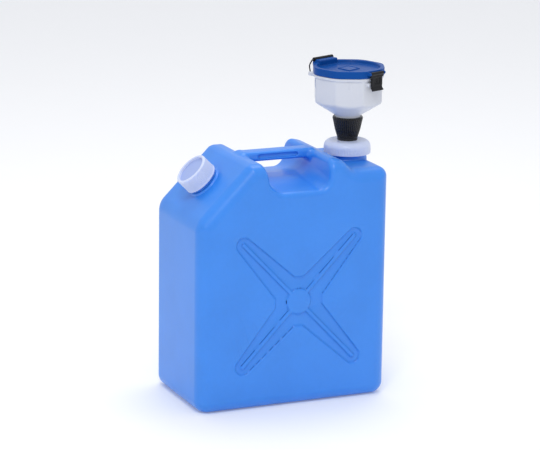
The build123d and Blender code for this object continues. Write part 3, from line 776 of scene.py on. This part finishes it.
# ---- operators
class JERRYCAN_OT_can(bpy.types.Operator):
    """Mould the hollow can with its trough, handle, pressed crosses and threaded necks"""

    bl_idname = "jerrycan.can"
    bl_label = "Can"

    def execute(self, context):
        sizes = context.scene.jerrycan_can
        wall, lip, relief = sizes.wall / MM, sizes.lip / MM, sizes.relief / MM
        cell = sizes.cell / MM * 1
        wall = max(wall, 1.8 * cell)      # a thinner wall would tie both skins together

        def distance(x, y, z):
            return can_shape(x, y, z, wall, lip, relief)

        shell = moulded_mesh("can_shell", distance, can_low, can_high, cell, 190000)
        plastic = surface("Blue polyethylene", sizes.colour, 0.31, spread=0.02, tone=0.035,
                          grain=1500, grain_depth=0.003, wave=0.18,
                          Subsurface_Weight=0.10, Subsurface_Radius=(0.3, 0.6, 1.0),
                          Subsurface_Scale=0.006, IOR=1.5)
        coat(shell, plastic)
        stand_for(shell, "can_body", "can")
        pitch = context.scene.jerrycan_caps.pitch / MM
        tree = thread_tree()
        for name, radius, start, turns, place in (
                ("filler_neck_thread", FILLER_NECK_RADIUS, 411.5, 1.9, FILLER_PLACE),
                ("pour_neck_thread", POUR_NECK_RADIUS, 12.5, 1.8, POUR_PLACE)):
            thread = bpy.data.objects.new(name, bpy.data.meshes.new(name))
            context.scene.collection.objects.link(thread)
            solved(thread, tree, {"Radius": (radius + 0.05) * MM, "Height": start * MM,
                                  "Pitch": pitch * MM, "Turns": turns, "Bead": 1.35 * MM,
                                  "Material": plastic})
            thread.data.transform(place)
            add_to(thread, "can")
        return {"FINISHED"}


class JERRYCAN_OT_caps(bpy.types.Operator):
    """Turn both milky screw caps with their grip ribs"""

    bl_idname = "jerrycan.caps"
    bl_label = "Screw caps"

    def execute(self, context):
        sizes = context.scene.jerrycan_caps
        milky = surface("Milky polyethylene", sizes.colour, 0.36, tone=0.03, grain=1300,
                        grain_depth=0.012, wave=0.12, Subsurface_Weight=0.45,
                        Subsurface_Radius=(0.8, 0.9, 1.0), Subsurface_Scale=0.004, IOR=1.5)
        tree = grip_tree()
        pour = turned_piece("pour_cap_shell", [
            (0, 32.5, 0), (25.5, 32.5, 1.2), (25.9, 36.8, 1.0), (30.5, 36.8, 2.2),
            (30.5, 12.0, 0.3), (31.0, 11.2, 0.5), (30.6, 9.3, 0.5), (27.3, 9.3, 0.4),
            (27.3, 29.5, 0.8), (0, 29.5, 0)],
            432)
        solved(pour, tree, {"Count": float(sizes.pour_ribs), "Depth": sizes.rib_depth,
                            "Low": 12.4 * MM, "High": 34.3 * MM, "Fade": 0.9 * MM,
                            "Inner radius": 29.6 * MM, "Flare": 0.0, "Land": 0.3,
                            "Material": milky})
        # Painted shade: a darker copy of the milky cap material for the pour cap's top disc, where
        # less light comes back through the thin wall
        thin = surface("Milky polyethylene painted shade", sizes.disc_shade_colour, 0.40, tone=0.05, grain=1300,
                       grain_depth=0.012, Specular_IOR_Level=0.25)
        pour.data.materials.append(thin)
        # Faces of the top disc take the painted shade material
        for face in pour.data.polygons:
            if math.hypot(face.center.x, face.center.y) < 25.3 * MM and face.center.z > 31 * MM:
                face.material_index = 1
        pour.data.transform(POUR_PLACE)
        stand_for(pour, "pour_cap", "pour_cap")
        bore = SPIGOT_RADIUS + 0.25
        filler = turned_piece("filler_cap_shell", [
            (bore, 433.0, 0.3), (40.5, 433.0, 11.0), (40.5, 413.4, 0.3), (40.2, 412.8, 0.3),
            (40.5, 412.2, 0.3), (40.5, 410.5, 0.6), (36.4, 410.5, 0.4), (36.4, 428.5, 0.8),
            (bore, 428.5, 0.3)], 384)
        solved(filler, tree, {"Count": float(sizes.filler_ribs), "Depth": sizes.rib_depth * 0.7,
                              "Low": 413.5 * MM, "High": 423.0 * MM, "Fade": 2.0 * MM,
                              "Inner radius": 39.4 * MM, "Flare": 0.0, "Land": 0.6,
                              "Material": milky})
        filler.data.transform(FILLER_PLACE)
        stand_for(filler, "filler_cap", "filler_cap")
        rubber = surface("Sealing rubber", (0.02, 0.02, 0.022), 0.62, tone=0.12, grain=900,
                         grain_depth=0.02)
        for node in ("pour_cap_gasket", "filler_cap_gasket", "collar_gasket", "stem_o_ring",
                     "lid_gasket"):
            coat_node(node, rubber)
        return {"FINISHED"}


class JERRYCAN_OT_adapter(bpy.types.Operator):
    """Finish the adapter through the filler cap, its nut and washer"""

    bl_idname = "jerrycan.adapter"
    bl_label = "Adapter and stem"

    def execute(self, context):
        black = surface("Black adapter plastic", context.scene.jerrycan_funnel.black, 0.34,
                        tone=0.15, grain=1100, grain_depth=0.02)
        for node in ("adapter_spigot", "adapter_lock_nut"):
            coat_node(node, black)
        nylon = surface("Washer plastic", (0.62, 0.63, 0.62), 0.45, tone=0.05, grain=1200,
                        grain_depth=0.015)
        coat_node("lock_nut_washer", nylon)
        return {"FINISHED"}


class JERRYCAN_OT_collar(bpy.types.Operator):
    """Turn the black fluted collar that screws the funnel down"""

    bl_idname = "jerrycan.collar"
    bl_label = "Fluted collar"

    def execute(self, context):
        sizes = context.scene.jerrycan_funnel
        black = surface("Black collar plastic", sizes.black, 0.26, spread=0.06, tone=0.2,
                        grain=1000, grain_depth=0.004, Specular_IOR_Level=0.35)
        collar = turned_piece("collar_shell", [
            (8.7, 458.0, 0.3), (22.0, 458.0, 0.6), (22.0, 474.0, 0.5), (25.6, 474.0, 0.8),
            (26.3, 471.0, 2.0), (25.1, 466.0, 3.0), (23.6, 459.0, 0), (21.9, 451.0, 0),
            (19.4, 443.0, 2.0), (17.9, 438.5, 0.6), (17.6, 437.0, 0.4), (14.4, 437.0, 0.4),
            (14.4, 454.0, 0.4), (8.7, 454.0, 0.3)], 400)
        solved(collar, grip_tree(), {
            "Count": float(sizes.flutes), "Depth": sizes.flute_depth, "Low": 438.6 * MM,
            "High": 475.5 * MM, "Fade": 1.6 * MM, "Inner radius": 16.8 * MM, "Flare": 0.262,
            "Land": 0.55, "Material": black})
        collar.data.transform(FILLER_PLACE)
        stand_for(collar, "funnel_collar", "funnel")
        return {"FINISHED"}


class JERRYCAN_OT_funnel(bpy.types.Operator):
    """Mould the eight-sided funnel and finish its stem, strainer and label"""

    bl_idname = "jerrycan.funnel"
    bl_label = "Funnel"

    def execute(self, context):
        sizes = context.scene.jerrycan_funnel
        cell = sizes.cell / MM * 1
        white = surface("White polypropylene", sizes.bowl_colour, 0.34, tone=0.025, grain=1400,
                        grain_depth=0.01, wave=0.10, Subsurface_Weight=0.25,
                        Subsurface_Radius=(0.9, 0.95, 1.0), Subsurface_Scale=0.003, IOR=1.49)
        bowl = moulded_mesh("funnel_shell", bowl_shape, bowl_low, bowl_high, cell, 170000)
        coat(bowl, white)
        stand_for(bowl, "funnel_bowl", "funnel")
        for node in ("funnel_stem", "strainer"):
            coat_node(node, white)
        coat_node("funnel_label", label_material())
        return {"FINISHED"}


def label_material():
    """Printed film: a blue field over a white one inside a thin grey border, with no words."""
    film = surface("Label film", (0.8, 0.81, 0.83), 0.3, tone=0.02, grain=600, grain_depth=0.01)
    tree = film.node_tree
    shader = tree.nodes["Principled BSDF"]
    low, high = (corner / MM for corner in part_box("funnel_label"))
    turn = math.atan2((low.y + high.y) / 2, (low.x + high.x) / 2 - FUNNEL_X)
    place = add_node(tree, "ShaderNodeTexCoord").outputs["Object"]
    centred = add_node(tree, "ShaderNodeMapping", {
        "Vector": place, "Location": (-FUNNEL_X * MM, 0, -(low.z + high.z) / 2 * MM)}).outputs[0]
    across = add_node(tree, "ShaderNodeVectorMath", operation="DOT_PRODUCT", values={
        0: centred, 1: (-math.sin(turn), math.cos(turn), 0)}).outputs["Value"]
    up = add_node(tree, "ShaderNodeSeparateXYZ", {0: centred}).outputs[2]
    half_wide, half_high = 0.5 * math.hypot(high.x - low.x, high.y - low.y), (high.z - low.z) / 2
    field = mixed(tree, ramp(tree, up, -0.3 * MM, 0.3 * MM),
                  (0.76, 0.77, 0.8, 1), (0.02, 0.10, 0.36, 1))

    def beyond(value, limit):
        """How far a value's size goes past a limit in millimetres."""
        return compute(tree, "SUBTRACT", compute(tree, "ABSOLUTE", value), limit * MM)

    edge = compute(tree, "MAXIMUM", beyond(across, half_wide - 2.2), beyond(up, half_high - 1.6))
    line = beyond(edge, 0.35)
    printed = mixed(tree, ramp(tree, line, 0.15 * MM, -0.15 * MM), field, (0.22, 0.22, 0.24, 1))
    tree.links.new(printed, shader.inputs["Base Color"])
    return film


class JERRYCAN_OT_lid(bpy.types.Operator):
    """Mould the blue lid with its dish, lozenge, hinge block and latch ears"""

    bl_idname = "jerrycan.lid"
    bl_label = "Lid"

    def execute(self, context):
        sizes = context.scene.jerrycan_funnel
        cell = sizes.cell / MM * 0.8
        blue = surface("Dark blue polypropylene", sizes.lid_colour, 0.34, spread=0.05, tone=0.06,
                       grain=1300, grain_depth=0.006, wave=0.08, Specular_IOR_Level=0.12)
        lid = moulded_mesh("lid_shell", lid_shape, lid_low, lid_high, cell, 150000)
        coat(lid, blue)
        stand_for(lid, "lid", "lid")
        return {"FINISHED"}


class JERRYCAN_OT_latch(bpy.types.Operator):
    """Mould the latch clip and finish the pin, the hinge's bail and its sleeve"""

    bl_idname = "jerrycan.latch"
    bl_label = "Latch and hinge"

    def execute(self, context):
        sizes = context.scene.jerrycan_funnel
        black = surface("Black latch plastic", sizes.black, 0.34, spread=0.06, tone=0.2,
                        grain=1100, grain_depth=0.012, Specular_IOR_Level=0.25)
        clip = moulded_mesh("latch_clip_shell", clip_shape, clip_low, clip_high,
                            0.45, 60000)
        coat(clip, black)
        stand_for(clip, "latch_clip", "latch")
        coat_node("hinge_sleeve", black)
        wire = surface("Coated black wire", (0.012, 0.012, 0.013), 0.30, tone=0.2, grain=2500,
                       grain_depth=0.01)
        coat_node("hinge_bail", wire)
        steel = surface("Steel pin", (0.56, 0.56, 0.57), 0.28, spread=0.08, tone=0.08, grain=2600,
                        grain_depth=0.006, stretch=(1, 1, 6), Metallic=1.0)
        coat_node("latch_pin", steel)
        return {"FINISHED"}


class JERRYCAN_OT_stage(bpy.types.Operator):
    """Set the floor, soft lights and the camera"""

    bl_idname = "jerrycan.stage"
    bl_label = "Stage"

    def execute(self, context):
        setup = context.scene.jerrycan_stage
        set_camera(context.scene, setup)
        set_floor(context.scene, setup)
        for name, place, aim, size, power, colour in (
                ("Key", (-0.9, -1.5, 2.5), (0, 0, 0.3), 0.6, 20, (1.0, 0.99, 0.97)),
                ("Side", (-3.0, 0.4, 1.6), (0, 0, 0.3), 1.4, 0.5, (0.97, 0.98, 1.0)),
                ("Top", (0.5, 0.8, 3.0), (0, 0, 0.3), 1.6, 22, (1.0, 1.0, 1.0))):
            set_light(context.scene, name, place, aim, size, power, colour)
        world = bpy.data.worlds.new("Studio")
        world.use_nodes = True
        back = world.node_tree.nodes["Background"]
        back.inputs["Color"].default_value = (0.93, 0.95, 1.0, 1)
        back.inputs["Strength"].default_value = 0.80
        context.scene.world = world
        context.scene.view_settings.view_transform = "Standard"
        return {"FINISHED"}


def facing(place, aim):
    """Placement at a point, looking at another."""
    way = Vector(aim) - Vector(place)
    return Matrix.Translation(place) @ way.to_track_quat("-Z", "Y").to_matrix().to_4x4()


def set_camera(scene, setup):
    """Camera on its orbit round the aim point."""
    flat = math.cos(setup.elevation)
    way = Vector((math.sin(setup.azimuth) * flat, -math.cos(setup.azimuth) * flat,
                  math.sin(setup.elevation)))
    lens = bpy.data.cameras.new("Camera")
    lens.lens = setup.lens
    lens.sensor_width = 36.0
    lens.clip_end = 60
    camera = bpy.data.objects.new("Camera", lens)
    aim = Vector((setup.aim_side, 0, setup.aim))
    camera.matrix_world = (facing(aim + way * setup.distance, aim)
                           @ Matrix.Rotation(setup.roll, 4, "Z"))
    scene.collection.objects.link(camera)
    scene.camera = camera


def set_floor(scene, setup):
    """Wide pale floor."""
    mesh = bpy.data.meshes.new("Floor")
    mesh.from_pydata([(-20, -20, 0), (20, -20, 0), (20, 20, 0), (-20, 20, 0)], [], [(0, 1, 2, 3)])
    floor = bpy.data.objects.new("Floor", mesh)
    scene.collection.objects.link(floor)
    coat(floor, surface("Pale floor", setup.floor_colour, 0.7, spread=0.03, tone=0.004,
                        grain=300, grain_depth=0.01, Emission_Color=(1, 1, 1, 1),
                        Emission_Strength=0.12))


def set_light(scene, name, place, aim, size, power, colour):
    """Square soft light aimed at a point."""
    lamp = bpy.data.lights.new(name, "AREA")
    lamp.size = size
    lamp.energy = power
    lamp.color = colour
    light = bpy.data.objects.new(name, lamp)
    light.matrix_world = facing(place, aim)
    scene.collection.objects.link(light)


class JERRYCAN_PT_panel(bpy.types.Panel):
    """Buttons and settings of the jerry can"""

    bl_idname = "JERRYCAN_PT_panel"
    bl_label = "Jerry Can"
    bl_space_type = "VIEW_3D"
    bl_region_type = "UI"
    bl_category = "Jerry Can"

    def draw(self, context):
        for group in SETTINGS:
            settings = getattr(context.scene, group)
            box = self.layout.box()
            for name in settings.__annotations__:
                box.prop(settings, name)
        for operator in OPERATORS:
            self.layout.operator(operator.bl_idname)


SETTINGS = {"jerrycan_can": CanSettings, "jerrycan_caps": CapSettings,
            "jerrycan_funnel": FunnelSettings, "jerrycan_stage": StageSettings}
OPERATORS = (JERRYCAN_OT_stage, JERRYCAN_OT_can, JERRYCAN_OT_caps, JERRYCAN_OT_adapter,
             JERRYCAN_OT_collar, JERRYCAN_OT_funnel, JERRYCAN_OT_lid, JERRYCAN_OT_latch)


def register():
    for kind in (*SETTINGS.values(), *OPERATORS, JERRYCAN_PT_panel):
        bpy.utils.register_class(kind)
    for name, group in SETTINGS.items():
        setattr(bpy.types.Scene, name, bpy.props.PointerProperty(type=group))


def unregister():
    for name in SETTINGS:
        delattr(bpy.types.Scene, name)
    for kind in (JERRYCAN_PT_panel, *reversed(OPERATORS), *reversed(SETTINGS.values())):
        bpy.utils.unregister_class(kind)


def main():
    """Make every piece in turn."""
    register()
    for make in (bpy.ops.jerrycan.stage, bpy.ops.jerrycan.can, bpy.ops.jerrycan.caps,
                 bpy.ops.jerrycan.adapter, bpy.ops.jerrycan.collar, bpy.ops.jerrycan.funnel,
                 bpy.ops.jerrycan.lid, bpy.ops.jerrycan.latch):
        make()


if __name__ == "__main__":
    main()
